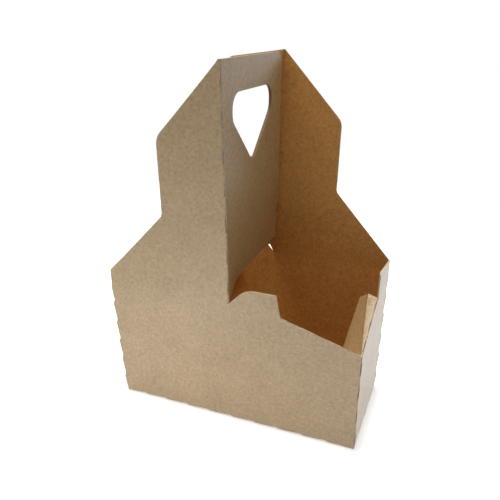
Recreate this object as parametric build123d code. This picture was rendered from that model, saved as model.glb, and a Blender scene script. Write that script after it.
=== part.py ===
from build123d import *
import os

# A carrier for two drinks cups: one die-cut blank of kraft board, creased, folded and glued.
# Millimetres. X runs along the front, Y from front to back, Z up, from the middle of the base.
# The front half is built first. The back half has the same shape, half a turn about Z.

# Board and its folds
board = 1.1
inner_fold_radius = 0.3
base_fold_radius = 1.5
fold_swell = 0.05

# Four walls, which lean outwards and bend a little where the handle folds start
width = 200.0
base_depth = 85.0
bend_depth = 107.5
top_depth = 121.0
top_height = 280.0
back_rise = 0.8

# Outline of the front wall, and of the back wall behind it
rim_height = 123.8
fold_foot_drop = 13.3
corner_drop = 4.3
neck_reach = 50.4
neck_height = 171.5
neck_radius = 6.0
shoulder_drop = 52.0
shoulder_radius = 12.0
tab_run = 12.6
tab_radius = 18.0
tab_slant = 3.4
tab_height = 18.1
tab_corner_radius = 0.8
low_fold_reach = 40.7
low_fold_drop = 18.1

# Outline of the side walls
notch_place = 4.0
side_fold_rise = 19.3
notch_depth = 21.8
peak_radius = 3.0

# Divider, which is also the handle
ply_gap = 1.0
ply_step = 4.5
ply_step_rise = 35.2
ply_corner_radius = 9.0
hole_place = -7.4
hole_margin = 22.0
hole_width = 71.0
hole_corner_radius = 11.0
hole_straight = 7.0
hole_shoulder_radius = 10.0
hole_point = 31.0
hole_tip_width = 8.0
hole_tip_radius = 2.5

# Low corner, pushed inwards so that it grips the cup
front_fold_angle = 149.5
side_fold_angle = 87.0
turn_share = 0.36
crease_start = 2.2

# Base flaps, which hook into each other, and the glued joint of the sleeve
side_flap_reach = 38.0
side_flap_taper = 9.0
hook_start = 12.0
hook_gap = 16.0
hook_reach = 13.0
hook_taper = 5.0
seam_gap = 0.8
glue_flap = 20.0
glue_flap_taper = 8.0
glue_flap_end = 4.0

# Cut marks that make the folds easy to bend
slit_width = 0.4
slit_depth = 4.0
handle_cut = 10.0
handle_bridge = 13.0
fold_cut = 11.0
fold_bridge = 9.0

edge = width / 2
inner_edge = edge - board
fold_radius = inner_fold_radius + board
blank_height = top_height + back_rise
bend_height = rim_height - fold_foot_drop
fold_lean = (top_depth - bend_depth) / 2 / (top_height - bend_height)
tall_corner = rim_height - corner_drop
shoulder_height = top_height - shoulder_drop
tab_reach = low_fold_reach - tab_slant
low_fold_height = rim_height - tab_height
low_corner = low_fold_height - low_fold_drop
notch_foot = low_corner + side_fold_rise
side_peak = notch_foot + notch_depth
ply_step_height = rim_height + ply_step_rise
hole_top = top_height - hole_margin
hole_shoulder = hole_top - hole_corner_radius - hole_straight
hole_tip = hole_shoulder - hole_point
hook_end = edge - side_flap_reach - hook_gap


def depth_at(height):
    """Outside depth of the four walls at a height."""
    if height < bend_height:
        return base_depth + (bend_depth - base_depth) * height / bend_height
    share = (height - bend_height) / (top_height - bend_height)
    return bend_depth + (top_depth - bend_depth) * share


def cut_shape(plane, length, corners):
    """An outline, given as pairs of a corner and its radius, drawn out from the plane."""
    points = [point for point, radius in corners]
    radii = [radius for point, radius in corners]
    face = make_face(plane * FilletPolyline(*points, radius=radii, close=True))
    return extrude(face, amount=length, dir=plane.z_dir)


def block_inside(inset, radius=fold_radius):
    """The whole space within the walls' outer faces, or that far inside them."""
    sections = []
    for height in (0, bend_height, blank_height):
        depth = depth_at(height) - 2 * inset
        section = RectangleRounded(width - 2 * inset, depth, radius)
        sections.append(Pos(0, 0, height) * section)
    return loft(sections, ruled=True)


def outer_block():
    """The whole space within the walls' outer faces, rounded along the base folds."""
    block = block_inside(0)
    return fillet(block.edges().group_by(Axis.Z)[0], base_fold_radius)


def tall_front(peak):
    """Left half of the front wall, which rises in two slopes to its peak."""
    shape = cut_shape(Plane.XZ, top_depth, [
        ((-inner_edge, 0), 0),
        ((-inner_edge, tall_corner), 0),
        ((-neck_reach, neck_height), neck_radius),
        ((-neck_reach, shoulder_height), shoulder_radius),
        ((0, peak), 0),
        ((board, peak), 0),
        ((board, 0), 0),
    ])
    return walls & shape


def low_front():
    """Right half of the front wall, with a tab beside the divider and a slanting fold."""
    shape = cut_shape(Plane.XZ, top_depth, [
        ((board, 0), 0),
        ((board, bend_height), 0),
        ((board + tab_run, rim_height), tab_radius),
        ((tab_reach, rim_height), tab_corner_radius),
        ((low_fold_reach, low_fold_height), 0),
        ((inner_edge, low_corner), 0),
        ((inner_edge, 0), 0),
    ])
    return walls & shape


def side_wall():
    """Right side wall, low at the front and notched where its fold ends."""
    front = -depth_at(low_corner) / 2
    back = depth_at(tall_corner) / 2
    shape = cut_shape(Plane.YZ.offset(inner_edge), board, [
        ((front, 0), 0),
        ((front, low_corner), 0),
        ((notch_place, notch_foot), 0),
        ((notch_place, side_peak), peak_radius),
        ((back, tall_corner), 0),
        ((back, 0), 0),
    ])
    return walls & shape


def divider_ply(peak):
    """Ply cut from the front wall's right half and folded back along the middle."""
    fold = board - bend_depth / 2
    reach = depth_at(ply_step_height) - board - ply_gap
    top = reach - top_depth / 2
    middle = reach - depth_at(ply_step_height) / 2
    # The lower edge was level in the blank and tilts with the leaning fold.
    near_rim = rim_height + fold_lean * tab_run
    far_rim = rim_height + fold_lean * (middle - ply_step - fold)
    shape = cut_shape(Plane.YZ, board, [
        ((-top_depth, bend_height), 0),
        ((-top_depth, peak), 0),
        ((top, peak), ply_corner_radius),
        ((middle, ply_step_height), ply_step / 3),
        ((middle - ply_step, ply_step_height - ply_step), ply_step / 3),
        ((middle - ply_step, far_rim), 0),
        ((fold + tab_run, near_rim), tab_radius),
        ((fold, bend_height), 0),
    ])
    return shape & outside


def handle_fold_round():
    """What the rounding of the handle fold takes off its sharp outer corner."""
    start = Vector(board, -bend_depth / 2, bend_height)
    line = Vector(board, -top_depth / 2, top_height) - start
    middle = (fold_radius - board) / 2
    corner = Pos(middle, -middle) * Rectangle(fold_radius + board, fold_radius + board)
    section = corner - Pos(fold_radius, -fold_radius) * Circle(fold_radius)
    plane = Plane(start, x_dir=(-1, 0, 0), z_dir=line)
    return extrude(plane * section, amount=line.length + board, dir=plane.z_dir)


def hand_hole():
    """Shield-shaped hole through both plies."""
    side = hole_width / 2
    tip = hole_tip_width / 2
    return cut_shape(Plane.YZ.offset(-edge), width, [
        ((hole_place - side, hole_top), hole_corner_radius),
        ((hole_place + side, hole_top), hole_corner_radius),
        ((hole_place + side, hole_shoulder), hole_shoulder_radius),
        ((hole_place + tip, hole_tip), hole_tip_radius),
        ((hole_place - tip, hole_tip), hole_tip_radius),
        ((hole_place - side, hole_shoulder), hole_shoulder_radius),
    ])


def front_mid(height):
    """Y of the middle of the lower front wall, also where it is continued past its bend."""
    return (board - base_depth - (bend_depth - base_depth) * height / bend_height) / 2


def folded(point, start, end, angle):
    """Where a point of the blank goes when it is folded about the line from start to end."""
    return Vertex(*point).rotate(Axis(start, end - start), angle).center()


def panel(*points):
    """Flat piece of board with its middle on the points."""
    face = make_face(Polyline(*points, close=True))
    return extrude(face, amount=board / 2, both=True)


def fold_line(start, end):
    """Rounded ridge of a fold, a little thicker than the board."""
    radius = board / 2 + fold_swell
    along = (Align.CENTER, Align.CENTER, Align.MIN)
    return Plane(start, z_dir=end - start) * Cylinder(radius, (end - start).length, align=along)


def shares(target, first, second):
    """How much of each of two arrows in a plane adds up to the target."""
    area = first.cross(second)
    first_share = target.cross(second).dot(area) / area.dot(area)
    second_share = first.cross(target).dot(area) / area.dot(area)
    return first_share, second_share


def pushed_corner():
    """Pieces of the corner above the low folds, turned inside out to grip the cup."""
    side_mid = edge - board / 2
    low = Vector(side_mid, front_mid(low_corner), low_corner)
    front_end = Vector(low_fold_reach, front_mid(low_fold_height), low_fold_height)
    side_end = Vector(side_mid, notch_place, notch_foot)
    # In the blank, the corner reaches up to the rim in front and to the peak beside the notch.
    flat_tip = Vector(side_mid, front_mid(rim_height), rim_height)
    flat_tab = Vector(tab_reach, front_mid(rim_height), rim_height)
    flat_peak = Vector(side_mid, notch_place, side_peak)
    flat_turn = side_end + (flat_peak - side_end) * turn_share

    tip = folded(flat_tip, low, front_end, front_fold_angle)
    tab = folded(flat_tab, low, front_end, front_fold_angle)
    turn = folded(flat_turn, low, side_end, -side_fold_angle)
    tip_share, turn_part = shares(flat_peak - low, flat_tip - low, flat_turn - low)
    peak = low + (tip - low) * tip_share + (turn - low) * turn_part

    panels = [
        panel(low, front_end, tab, tip),
        panel(low, tip, peak, turn),
        panel(low, turn, side_end),
    ]
    ridges = [fold_line(front_end, low), fold_line(low, side_end)]
    for end in (tip, turn):
        ridges.append(fold_line(low + (end - low).normalized() * crease_start, end))
    return panels + ridges


def base_flaps():
    """Outer flaps that meet in the middle, and above them the side flaps and the hooks."""
    outer = outside & Pos(0, 0, board / 2) * Box(2 * width, 2 * width, board)
    seam = Box(2 * inner_edge, seam_gap, 4 * board)
    front_hook = cut_shape(Plane.XY.offset(board), board, [
        ((hook_start, -hook_reach), 0),
        ((hook_start + hook_taper, hook_reach), hook_taper / 2),
        ((hook_end - hook_taper, hook_reach), hook_taper / 2),
        ((hook_end, -hook_reach), 0),
    ])
    side_flap = cut_shape(Plane.XY.offset(board), board, [
        ((edge - board, -base_depth / 2 + board), 0),
        ((edge - board, base_depth / 2 - board), 0),
        ((edge - side_flap_reach, base_depth / 2 - board - side_flap_taper), 3 * board),
        ((edge - side_flap_reach, -base_depth / 2 + board + side_flap_taper), 3 * board),
    ])
    inner = front_hook + side_flap
    return outer - seam + inner + inner.rotate(Axis.Z, 180)


def glued_flap():
    """Flap of the left wall, glued to the inside of the front wall."""
    end = glue_flap_end + 2 * board
    shape = cut_shape(Plane.XZ, top_depth, [
        ((-edge, end), 0),
        ((-edge, tall_corner - glue_flap_end), 0),
        ((glue_flap - edge, tall_corner - glue_flap_end - glue_flap_taper), 0),
        ((glue_flap - edge, end + glue_flap_taper), 0),
    ])
    inside = block_inside(board, inner_fold_radius)
    lining = inside - Pos(0, board, 0) * inside
    return lining & shape


def slits(start, end, outward, cut, bridge):
    """Short cuts along a fold, spaced evenly, which open outwards."""
    start, end = Vector(*start), Vector(*end)
    line = end - start
    count = max(1, round(line.length / (cut + bridge)))
    marks = []
    for number in range(count):
        middle = start + line * ((number + 0.5) / count)
        plane = Plane(middle, x_dir=Vector(*outward), z_dir=line)
        marks.append(plane * Box(slit_depth, slit_width, cut))
    return marks


def fold_marks():
    """Cut marks on the folds of the front half."""
    base_y = -base_depth / 2
    bend_y = -bend_depth / 2
    low_y = -depth_at(low_corner) / 2
    handle = slits((board, bend_y, bend_height), (board, -top_depth / 2, top_height),
                   (1, -1, 0), handle_cut, handle_bridge)
    tall_fold = slits((-edge, base_y, 0), (-edge, bend_y, bend_height),
                      (-1, -1, 0), fold_cut, fold_bridge)
    low_fold = slits((edge, base_y, 0), (edge, low_y, low_corner),
                     (1, -1, 0), fold_cut, fold_bridge)
    base_fold = slits((-edge, base_y, 0), (edge, base_y, 0), (0, -1, -1), fold_cut, fold_bridge)
    side_base_fold = slits((edge, base_y, 0), (edge, -base_y, 0), (1, 0, -1), fold_cut, fold_bridge)
    front_low_fold = slits(
        (low_fold_reach, front_mid(low_fold_height), low_fold_height),
        (edge, front_mid(low_corner), low_corner), (0, 0, 1), fold_cut, fold_bridge)
    side_low_fold = slits(
        (edge - board / 2, front_mid(low_corner), low_corner),
        (edge - board / 2, notch_place, notch_foot), (0, 0, 1), fold_cut, fold_bridge)
    return handle + tall_fold + low_fold + base_fold + side_base_fold + front_low_fold + side_low_fold


outside = outer_block()
walls = outside - block_inside(board, inner_fold_radius)


def half_carrier(peak):
    """Front wall, right wall, one ply of the divider and the low corner between them."""
    half = tall_front(peak) + divider_ply(peak) - handle_fold_round()
    for piece in [low_front(), side_wall()] + pushed_corner():
        half += piece
    return half


carrier = half_carrier(top_height) + half_carrier(blank_height).rotate(Axis.Z, 180)
carrier = carrier + base_flaps() + glued_flap() - hand_hole()
marks = fold_marks()
carrier = carrier - marks - [mark.rotate(Axis.Z, 180) for mark in marks]

os.makedirs("parts", exist_ok=True)
export_step(carrier, "parts/cup_carrier.step")
print("solids", len(carrier.solids()), "volume", round(carrier.volume))
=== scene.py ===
import math
from collections import namedtuple

import bmesh
import bpy
from mathutils import Matrix, Vector, noise


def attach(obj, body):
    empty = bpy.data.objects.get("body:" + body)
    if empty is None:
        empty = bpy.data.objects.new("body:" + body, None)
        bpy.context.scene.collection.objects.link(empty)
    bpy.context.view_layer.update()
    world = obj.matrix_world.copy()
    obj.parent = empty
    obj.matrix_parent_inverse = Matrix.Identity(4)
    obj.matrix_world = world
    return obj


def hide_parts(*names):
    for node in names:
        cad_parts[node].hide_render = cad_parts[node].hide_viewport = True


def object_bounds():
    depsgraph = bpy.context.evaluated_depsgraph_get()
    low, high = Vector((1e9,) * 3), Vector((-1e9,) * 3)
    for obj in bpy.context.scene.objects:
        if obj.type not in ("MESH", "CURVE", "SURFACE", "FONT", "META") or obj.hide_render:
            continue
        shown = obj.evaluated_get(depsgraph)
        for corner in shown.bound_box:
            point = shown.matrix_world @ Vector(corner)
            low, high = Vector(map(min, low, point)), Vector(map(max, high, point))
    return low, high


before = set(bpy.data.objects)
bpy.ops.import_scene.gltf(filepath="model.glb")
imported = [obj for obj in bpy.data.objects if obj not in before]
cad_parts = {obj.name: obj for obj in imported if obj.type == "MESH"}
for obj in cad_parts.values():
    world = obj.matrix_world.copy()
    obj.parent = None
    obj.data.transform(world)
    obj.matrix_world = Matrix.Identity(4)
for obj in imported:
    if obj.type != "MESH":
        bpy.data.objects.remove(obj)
cad_box = [list(corner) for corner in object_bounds()]

MM = 0.001

# Viewpoint of the photograph
CAMERA_PLACE = (147.5 * MM, -393.0 * MM, 304.3 * MM)
CAMERA_AZIMUTH = math.radians(21.04)
CAMERA_ELEVATION = math.radians(22.29)
CAMERA_ROLL = math.radians(0.92)
CAMERA_LENS = 41.06

# Outline of the board, as it is cut and folded
BOARD = 1.1 * MM
WIDTH = 200 * MM
BASE_DEPTH = 85 * MM
BEND_DEPTH = 107.5 * MM
TOP_DEPTH = 121 * MM
BEND_HEIGHT = 110.5 * MM
TOP_HEIGHT = 280 * MM
LOW_CORNER = 87.6 * MM

# Surfaces of the board, in the order of their materials
OUTER_LINER, INNER_LINER, RAW_EDGE_AND_HIGHLIGHT, HOLE_EDGE_SHADE = range(4)
FOLD_ANGLE = math.radians(35)
EDGE_WIDTH = 2.3 * MM
CELL_MIDDLE = Vector((0, 0, 60 * MM))
HOLE_REACH = (5 * MM, 45 * MM)
HOLE_TOP = 270 * MM
TOP_EDGE_REACH = 0.1 * MM
# Up-facing faces on the crowns of the low folds are painted pale, partly as cracked liner and
# partly as a painted highlight
CRACKED_LIT_RISE = 0.4
CRACKED_LIT_AREA = 20 * MM * MM

# Sizes of the board's patterns. Real fibres are finer, and are drawn this coarse so that they show
CLOUD_SIZE = 26 * MM
MOTTLE_SIZE = 2.4 * MM
FIBRE_SIZE = 0.9 * MM
CLOUD_SHARE = 0.22
TONE_LOW = 0.36
TONE_HIGH = 0.86
FIBRE_LOW = 0.60
FIBRE_HIGH = 0.72
FIBRE_STRENGTH = 0.5
GRAIN_STRENGTH = 0.25
GRAIN_DEPTH = 0.25 * MM

# Cuts that let the flat walls bend
PANEL_STEP = 8 * MM
FOLD_STEP = 2.5 * MM
FOLD_REACH = 7 * MM
FOLD_STRIPS = (1.2 * MM, 3.2 * MM, 7 * MM)
CUT_TOLERANCE = 0.01 * MM
WELD_DISTANCE = 0.001 * MM
NEARLY_PARALLEL = 0.9

# How the folded board gives. A share below 0 draws the fold in, and one above 0 lets it stand out
CUT_PITCH = 20 * MM
SCALLOP = 1.1 * MM
SCALLOP_DROP = 0.18
SCALLOP_ENDS = 12
TALL_CORNER_SHARE = 1.2
LOW_CORNER_SHARE = 0.9
FRONT_BASE_SHARE = -1.0
SIDE_BASE_SHARE = -0.7
HANDLE_SHARE = 0.3
LIP_REACH = 2.5 * MM
LIP_OPENING = 0.35 * MM
LIP_CLOSING = 0.15 * MM
HANDLE_LEAN = 2.9 * MM
LEAN_ALONG_WALL = 50 * MM
LEAN_ALONG_DIVIDER = 80 * MM
WARP = 0.7 * MM
WARP_LENGTH = 70 * MM
WARP_PLACE = Vector((3.1, 7.7, 1.3))
WARP_SEED = 3
STIFF_HEIGHT = 40 * MM

# Studio
TABLE_RADIUS = 700 * MM
TABLE_SIDES = 96
TABLE_GAP = 0.1 * MM
SHADOW_START = -6 * MM
SHADOW_REACH = 18 * MM
NEAR_GLOW = 0.45
WORLD_FILL = 0.1

# Sockets of the colour Mix node
FACTOR, FIRST_COLOUR, SECOND_COLOUR = 0, 6, 7
MIXED_COLOUR = 2

# A straight fold: its ends, its direction outwards, those of its two walls, and its scallop
Fold = namedtuple("Fold", "start end outward walls share")


def linear(hex_colour):
    """Linear colour of an sRGB hex value."""
    channels = [int(hex_colour[i:i + 2], 16) / 255 for i in (0, 2, 4)]
    return [c / 12.92 if c <= 0.04045 else ((c + 0.055) / 1.055) ** 2.4 for c in channels] + [1.0]


def add_node(tree, kind, settings=None, sockets=None):
    """Adds a node with its settings, and gives each socket its value or its link."""
    node = tree.nodes.new(kind)
    for name, value in (settings or {}).items():
        setattr(node, name, value)
    for name, value in (sockets or {}).items():
        if isinstance(value, bpy.types.NodeSocket):
            tree.links.new(value, node.inputs[name])
        else:
            node.inputs[name].default_value = value
    return node


def new_material(name):
    """An empty material and its node tree."""
    material = bpy.data.materials.new(name)
    material.use_nodes = True
    material.node_tree.nodes.clear()
    return material, material.node_tree


def board_material(name, dark, light, fleck, roughness, shine):
    """Kraft board: cloudy from the pulp, finely mottled, with short fibres of another tone."""
    material, tree = new_material(name)
    place = add_node(tree, "ShaderNodeTexCoord").outputs["Object"]
    clouds = add_node(tree, "ShaderNodeTexNoise", {}, {
        "Vector": place, "Scale": 1 / CLOUD_SIZE, "Detail": 3.0, "Roughness": 0.6})
    mottle = add_node(tree, "ShaderNodeTexNoise", {}, {
        "Vector": place, "Scale": 1 / MOTTLE_SIZE, "Detail": 4.0, "Roughness": 0.75})
    fibres = add_node(tree, "ShaderNodeTexNoise", {}, {
        "Vector": place, "Scale": 1 / FIBRE_SIZE, "Detail": 2.0, "Roughness": 0.6})
    both = add_node(tree, "ShaderNodeMath", {"operation": "MULTIPLY_ADD"}, {
        0: clouds.outputs["Fac"], 1: CLOUD_SHARE, 2: mottle.outputs["Fac"]})
    tone = add_node(tree, "ShaderNodeMapRange", {}, {
        "Value": both.outputs[0], "From Min": TONE_LOW, "From Max": TONE_HIGH})
    colour = add_node(tree, "ShaderNodeMix", {"data_type": "RGBA"}, {
        FACTOR: tone.outputs["Result"],
        FIRST_COLOUR: linear(dark),
        SECOND_COLOUR: linear(light)})
    spots = add_node(tree, "ShaderNodeMapRange", {}, {
        "Value": fibres.outputs["Fac"],
        "From Min": FIBRE_LOW, "From Max": FIBRE_HIGH, "To Max": FIBRE_STRENGTH})
    flecked = add_node(tree, "ShaderNodeMix", {"data_type": "RGBA"}, {
        FACTOR: spots.outputs["Result"],
        FIRST_COLOUR: colour.outputs[MIXED_COLOUR],
        SECOND_COLOUR: linear(fleck)})
    grain = add_node(tree, "ShaderNodeBump", {}, {
        "Height": mottle.outputs["Fac"], "Strength": GRAIN_STRENGTH, "Distance": GRAIN_DEPTH})
    shader = add_node(tree, "ShaderNodeBsdfPrincipled", {}, {
        "Base Color": flecked.outputs[MIXED_COLOUR], "Normal": grain.outputs["Normal"],
        "Roughness": roughness, "Specular IOR Level": shine})
    add_node(tree, "ShaderNodeOutputMaterial", {}, {"Surface": shader.outputs["BSDF"]})
    return material


def kraft_outer_liner():
    """Kraft paper rolled smooth: greyish tan, with a sheen that turns pale at a glancing angle."""
    return board_material("kraft_outer_liner", "A2804F", "DDBD88", "85643D", 0.35, 1.0)


def kraft_inner_liner():
    """Kraft paper as it leaves the paper machine: warmer, browner and more matt."""
    return board_material("kraft_inner_liner", "A36C2B", "DDA353", "7A4F20", 0.55, 0.6)


def raw_edge_and_painted_highlight():
    """Board where the die cut or cracked it: pale loose fibres with no sheen. It is also laid on
    the divider's top and the up-facing crowns of the low folds, partly as cracked liner and partly
    as a painted highlight where they face the light.
    """
    return board_material("raw_edge_and_painted_highlight", "CDB08A", "F0DCBE", "FFF6E6", 0.8, 0.3)


def hole_edge_painted_shade():
    """Cut board of the hand hole, darkened with painted shade so that its edge reads as a thin
    brown line.
    """
    return board_material("hole_edge_painted_shade", "6E5233", "8A6A45", "A98A62", 0.7, 0.4)


def spread_regions(mesh):
    """Lists of faces that run into each other without a sharp edge between them."""
    regions = []
    seen = set()
    for first in mesh.faces:
        if first in seen:
            continue
        seen.add(first)
        region = [first]
        for face in region:
            for edge in face.edges:
                if len(edge.link_faces) != 2 or edge.calc_face_angle(0) > FOLD_ANGLE:
                    continue
                for neighbour in edge.link_faces:
                    if neighbour not in seen:
                        seen.add(neighbour)
                        region.append(neighbour)
        regions.append(region)
    return regions


def surface_of(region):
    """The surface that a region of faces is: a narrow one is a cut edge, a wide one a liner."""
    inside = set(region)
    area = sum(face.calc_area() for face in region)
    rim = sum(edge.calc_length() for face in region for edge in face.edges
              if any(other not in inside for other in edge.link_faces))
    if 2 * area < EDGE_WIDTH * rim:
        first = region[0].calc_center_median()
        in_hole = (abs(first.x) < HOLE_REACH[0] and abs(first.y) < HOLE_REACH[1]
                   and first.z < HOLE_TOP)
        # Cut edges inside the hand hole take the darker colour, which is painted shade
        return HOLE_EDGE_SHADE if in_hole else RAW_EDGE_AND_HIGHLIGHT
    outward = sum(face.normal.dot(face.calc_center_median() - CELL_MIDDLE) * face.calc_area()
                  for face in region)
    return OUTER_LINER if outward > 0 else INNER_LINER


def pale_fibres_and_highlight(face):
    """Whether a face is the divider's top edge, or an up-facing face on the crown of a low fold:
    pale where the liner cracked, and a painted highlight where it faces the light.
    """
    centre = face.calc_center_median()
    on_top = centre.z > TOP_HEIGHT - TOP_EDGE_REACH
    on_low_fold = (face.normal.z > CRACKED_LIT_RISE and face.calc_area() < CRACKED_LIT_AREA
                   and centre.x * centre.y < 0 and abs(centre.y) > BASE_DEPTH / 2
                   and LOW_CORNER < centre.z < BEND_HEIGHT)
    return on_top or on_low_fold


def mark_surfaces(mesh):
    """Gives each face the material of its surface."""
    for region in spread_regions(mesh):
        surface = surface_of(region)
        for face in region:
            # The divider's top and the up-facing fold crowns take the pale edge colour: partly
            # fibres, partly painted highlight
            face.material_index = RAW_EDGE_AND_HIGHLIGHT if pale_fibres_and_highlight(face) else surface


def turned(point):
    """The same place on the other half, half a turn about Z."""
    return Vector((-point.x, -point.y, point.z))


def fold_lines():
    """Every straight fold, with the directions outwards and along its two walls."""
    side = WIDTH / 2
    base = BASE_DEPTH / 2
    bend = BEND_DEPTH / 2
    low = base + (bend - base) * LOW_CORNER / BEND_HEIGHT
    top = TOP_DEPTH / 2
    left, right, back, up = (-1, 0, 0), (1, 0, 0), (0, 1, 0), (0, 0, 1)
    half = [
        ((-side, -base, 0), (-side, -bend, BEND_HEIGHT), (-1, -1, 0), right, back,
         TALL_CORNER_SHARE),
        ((side, -base, 0), (side, -low, LOW_CORNER), (1, -1, 0), left, back,
         LOW_CORNER_SHARE),
        ((-side, -base, 0), (side, -base, 0), (0, -1, -1), up, back,
         FRONT_BASE_SHARE),
        ((side, -base, 0), (side, base, 0), (1, 0, -1), up, left,
         SIDE_BASE_SHARE),
        ((BOARD, -bend, BEND_HEIGHT), (BOARD, -top, TOP_HEIGHT), (1, -1, 0), left, back,
         HANDLE_SHARE),
    ]
    folds = []
    for *arrows, share in half:
        arrows = [Vector(arrow) for arrow in arrows]
        for start, end, outward, *walls in (arrows, [turned(arrow) for arrow in arrows]):
            folds.append(Fold(start, end, outward, walls, share))
    return folds


def from_fold(point, fold):
    """How far along a fold a point lies, as a share of it, and how far from it."""
    line = fold.end - fold.start
    along = (point - fold.start).dot(line) / line.length_squared
    foot = fold.start + line * min(1, max(0, along))
    return along, (point - foot).length


def across(arrow, line):
    """The part of a wall's direction that is square to the fold."""
    return arrow - line * arrow.dot(line) / line.length_squared


def cut_row(mesh, faces, start, normal, offsets):
    """Cuts faces with a row of parallel planes, at rising distances from a point."""
    def heights(face):
        return [(vert.co - start).dot(normal) for vert in face.verts]

    waiting = sorted(faces, key=lambda face: -min(heights(face)))
    passing = []
    for offset in offsets:
        while waiting and min(heights(waiting[-1])) < offset:
            passing.append(waiting.pop())
        passing = [face for face in passing if max(heights(face)) > offset]
        verts = {vert for face in passing for vert in face.verts}
        edges = {edge for face in passing for edge in face.edges}
        cut = bmesh.ops.bisect_plane(mesh, geom=list(verts) + list(edges) + passing,
                                     plane_co=start + normal * offset, plane_no=normal,
                                     dist=CUT_TOLERANCE)
        passing = [item for item in cut["geom"] if isinstance(item, bmesh.types.BMFace)]


def cut_steps(mesh, faces, axis, step):
    """Cuts faces at even steps along an axis, through the whole height or width."""
    low, high = (Vector(corner) for corner in cad_box)
    normal = Vector((0, 0, 0))
    normal[axis] = 1
    count = int((high[axis] - low[axis]) / step)
    cut_row(mesh, faces, low, normal, [step * n for n in range(1, count)])


def beside_fold(face, fold, axis):
    """Whether a face is close to a fold that runs nearly along an axis."""
    line = fold.end - fold.start
    return (abs(line[axis]) > NEARLY_PARALLEL * line.length
            and from_fold(face.calc_center_median(), fold)[1] < FOLD_REACH)


def cut_for_bending(mesh, folds):
    """Cuts the walls so that they can bend: finely beside the folds, and coarsely elsewhere."""
    for fold in folds:
        for wall in fold.walls:
            normal = across(wall, fold.end - fold.start).normalized()
            cut_row(mesh, mesh.faces, fold.start, normal, FOLD_STRIPS)
    for axis in range(3):
        near = [face for face in mesh.faces
                if any(beside_fold(face, fold, axis) for fold in folds)]
        cut_steps(mesh, near, axis, FOLD_STEP)
    for axis in range(3):
        cut_steps(mesh, mesh.faces, axis, PANEL_STEP)


def open_cuts(mesh, folds):
    """Spreads the outer lips of the cuts in each fold and closes their inner lips."""
    for fold in folds:
        sideways = fold.outward.cross(fold.end - fold.start).normalized()
        for vert in mesh.verts:
            if from_fold(vert.co, fold)[1] > LIP_REACH:
                continue
            surfaces = {face.material_index for face in vert.link_faces}
            if RAW_EDGE_AND_HIGHLIGHT not in surfaces:
                continue
            turn = math.copysign(1, (vert.co - fold.start).dot(sideways))
            if OUTER_LINER in surfaces:
                vert.co += sideways * turn * LIP_OPENING
            elif INNER_LINER in surfaces:
                vert.co -= sideways * turn * LIP_CLOSING


def scallop(along, count):
    """Saw-tooth from 0 to 1 for each cut and bridge along a fold."""
    part = (along * count) % 1
    if part < 1 - SCALLOP_DROP:
        return part / (1 - SCALLOP_DROP)
    return (1 - part) / SCALLOP_DROP


def work_folds(mesh, folds):
    """Lets each fold stand out or draw in by scallops between its bridges."""
    for fold in folds:
        outward = fold.outward.normalized()
        count = round((fold.end - fold.start).length / CUT_PITCH)
        for vert in mesh.verts:
            along, distance = from_fold(vert.co, fold)
            if distance > FOLD_REACH or not 0 < along < 1:
                continue
            ends = min(1, SCALLOP_ENDS * along, SCALLOP_ENDS * (1 - along))
            fade = (1 - distance / FOLD_REACH) ** 2 * ends
            vert.co += outward * SCALLOP * fold.share * scallop(along, count) * fade


def lean_handle(mesh):
    """Pulls the front fold of the handle over to the left at its top, as carrying it does."""
    for vert in mesh.verts:
        rise = (vert.co.z - BEND_HEIGHT) / (TOP_HEIGHT - BEND_HEIGHT)
        if rise <= 0:
            continue
        on_wall = max(0, 1 - abs(vert.co.x) / LEAN_ALONG_WALL)
        to_back = vert.co.y + TOP_DEPTH / 2
        on_divider = min(1, max(0, (LEAN_ALONG_DIVIDER - to_back) / LEAN_ALONG_DIVIDER))
        vert.co.x -= HANDLE_LEAN * rise * on_wall * on_divider


def warp(mesh):
    """Bends the panels slightly, as handled board never stays quite flat."""
    noise.seed_set(WARP_SEED)
    for vert in mesh.verts:
        sway = noise.noise_vector(vert.co / WARP_LENGTH + WARP_PLACE)
        share = min(1, vert.co.z / STIFF_HEIGHT)
        vert.co.x += WARP * sway.x * share
        vert.co.y += WARP * sway.y * share


def shade_smooth(mesh):
    """Smooths the shading everywhere but across the folds and the cut edges."""
    for edge in mesh.edges:
        edge.smooth = edge.calc_face_angle(0) < FOLD_ANGLE
    for face in mesh.faces:
        face.smooth = True


def new_object(name, mesh, materials):
    """Puts a finished mesh into the scene with its materials."""
    data = bpy.data.meshes.new(name)
    mesh.to_mesh(data)
    mesh.free()
    for material in materials:
        data.materials.append(material)
    piece = bpy.data.objects.new(name, data)
    bpy.context.scene.collection.objects.link(piece)
    return piece


def make_carrier():
    """The folded board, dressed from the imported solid."""
    mesh = bmesh.new()
    mesh.from_mesh(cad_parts["cup_carrier"].data)
    bmesh.ops.remove_doubles(mesh, verts=mesh.verts, dist=WELD_DISTANCE)
    mark_surfaces(mesh)
    folds = fold_lines()
    cut_for_bending(mesh, folds)
    open_cuts(mesh, folds)
    work_folds(mesh, folds)
    lean_handle(mesh)
    warp(mesh)
    shade_smooth(mesh)
    carrier = new_object("folded_board", mesh, [
        kraft_outer_liner(), kraft_inner_liner(), raw_edge_and_painted_highlight(), hole_edge_painted_shade()])
    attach(carrier, "root")
    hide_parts("cup_carrier")


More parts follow.
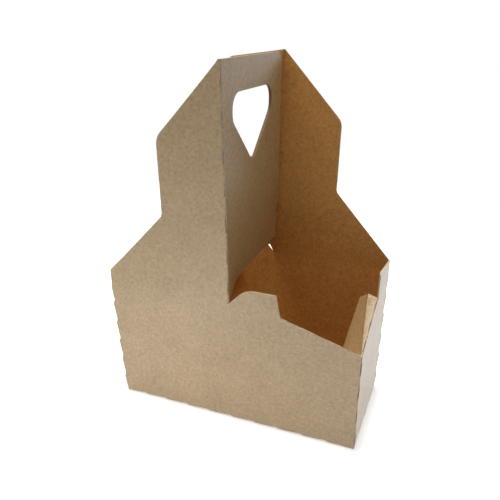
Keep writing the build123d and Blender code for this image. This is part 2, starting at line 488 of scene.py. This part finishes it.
def distance_beyond_footprint(tree):
    """How far a place on the table lies outside the carrier's base."""
    place = add_node(tree, "ShaderNodeTexCoord").outputs["Object"]
    sides = add_node(tree, "ShaderNodeVectorMath", {"operation": "ABSOLUTE"}, {0: place})
    beyond = add_node(tree, "ShaderNodeVectorMath", {"operation": "SUBTRACT"}, {
        0: sides.outputs[0], 1: (WIDTH / 2, BASE_DEPTH / 2, 0)})
    parts = add_node(tree, "ShaderNodeSeparateXYZ", {}, {"Vector": beyond.outputs[0]})
    farther = add_node(tree, "ShaderNodeMath", {"operation": "MAXIMUM"}, {
        0: parts.outputs["X"], 1: parts.outputs["Y"]})
    return farther.outputs[0]


def matt_white_laminate():
    """Matt white laminate, which holds a soft shadow near the carrier and is pure white beyond."""
    material, tree = new_material("matt_white_laminate")
    paint = add_node(tree, "ShaderNodeBsdfDiffuse", {}, {"Color": linear("F2F4F9")})
    whiteness = add_node(tree, "ShaderNodeMapRange", {"interpolation_type": "SMOOTHSTEP"}, {
        "Value": distance_beyond_footprint(tree),
        "From Min": SHADOW_START, "From Max": SHADOW_REACH,
        "To Min": NEAR_GLOW, "To Max": 1.0})
    path = add_node(tree, "ShaderNodeLightPath")
    seen = add_node(tree, "ShaderNodeMath", {"operation": "MULTIPLY"}, {
        0: path.outputs["Is Camera Ray"], 1: whiteness.outputs["Result"]})
    mirrored = add_node(tree, "ShaderNodeMath", {"operation": "MAXIMUM"}, {
        0: path.outputs["Is Glossy Ray"], 1: path.outputs["Is Transmission Ray"]})
    white = add_node(tree, "ShaderNodeMath", {"operation": "ADD"}, {
        0: seen.outputs[0], 1: mirrored.outputs[0]})
    glow = add_node(tree, "ShaderNodeEmission", {}, {
        "Color": linear("FFFFFF"), "Strength": white.outputs[0]})
    both = add_node(tree, "ShaderNodeAddShader", {}, {0: paint.outputs[0], 1: glow.outputs[0]})
    add_node(tree, "ShaderNodeOutputMaterial", {}, {"Surface": both.outputs[0]})
    return material


def make_floor():
    """Round white table under the carrier."""
    mesh = bmesh.new()
    bmesh.ops.create_circle(mesh, cap_ends=True, segments=TABLE_SIDES, radius=TABLE_RADIUS)
    floor = new_object("studio_table", mesh, [matt_white_laminate()])
    floor.location.z = cad_box[0][2] - TABLE_GAP


def make_world():
    """Dim even fill, with white all round for the camera and for reflections."""
    world = bpy.data.worlds.new("studio")
    world.use_nodes = True
    tree = world.node_tree
    tree.nodes.clear()
    path = add_node(tree, "ShaderNodeLightPath")
    fill = add_node(tree, "ShaderNodeBackground", {}, {
        "Color": linear("FFFFFF"), "Strength": WORLD_FILL})
    white = add_node(tree, "ShaderNodeBackground", {}, {
        "Color": linear("FFFFFF"), "Strength": 1.0})
    mirrored = add_node(tree, "ShaderNodeMath", {"operation": "MAXIMUM"}, {
        0: path.outputs["Is Glossy Ray"], 1: path.outputs["Is Transmission Ray"]})
    plain = add_node(tree, "ShaderNodeMath", {"operation": "MAXIMUM"}, {
        0: path.outputs["Is Camera Ray"], 1: mirrored.outputs[0]})
    choice = add_node(tree, "ShaderNodeMixShader", {}, {
        "Fac": plain.outputs[0], 1: fill.outputs[0], 2: white.outputs[0]})
    add_node(tree, "ShaderNodeOutputWorld", {}, {"Surface": choice.outputs[0]})
    bpy.context.scene.world = world


def make_lamp(name, azimuth, elevation, distance, height, size, power):
    """Square softbox that faces the carrier's axis at a height, from an angle in degrees."""
    lamp = bpy.data.lights.new(name, "AREA")
    lamp.shape = "SQUARE"
    lamp.size = size
    lamp.energy = power
    holder = bpy.data.objects.new(name, lamp)
    bpy.context.scene.collection.objects.link(holder)
    azimuth = math.radians(azimuth)
    elevation = math.radians(elevation)
    aim = Vector((math.sin(azimuth) * math.cos(elevation),
                  -math.cos(azimuth) * math.cos(elevation), math.sin(elevation)))
    holder.location = aim * distance + Vector((0, 0, height))
    holder.rotation_euler = aim.to_track_quat("Z", "Y").to_euler()
    return holder


def make_lamps():
    """A large softbox overhead on the left, and a small one low in front that shows no glare."""
    make_lamp("left_softbox", 280, 82, distance=950 * MM, height=120 * MM, size=700 * MM, power=8.9)
    low_softbox = make_lamp("low_softbox", 338, 3, distance=260 * MM, height=20 * MM,
                            size=40 * MM, power=0.08)
    low_softbox.visible_glossy = False


def make_camera():
    """Camera at the photograph's viewpoint."""
    lens = bpy.data.cameras.new("camera")
    lens.lens = CAMERA_LENS
    camera = bpy.data.objects.new("camera", lens)
    bpy.context.scene.collection.objects.link(camera)
    turn = (Matrix.Rotation(CAMERA_AZIMUTH, 4, "Z")
            @ Matrix.Rotation(math.pi / 2 - CAMERA_ELEVATION, 4, "X")
            @ Matrix.Rotation(CAMERA_ROLL, 4, "Z"))
    camera.matrix_world = Matrix.Translation(CAMERA_PLACE) @ turn
    bpy.context.scene.camera = camera


bpy.context.scene.view_settings.view_transform = "Standard"
make_carrier()
make_floor()
make_world()
make_lamps()
make_camera()
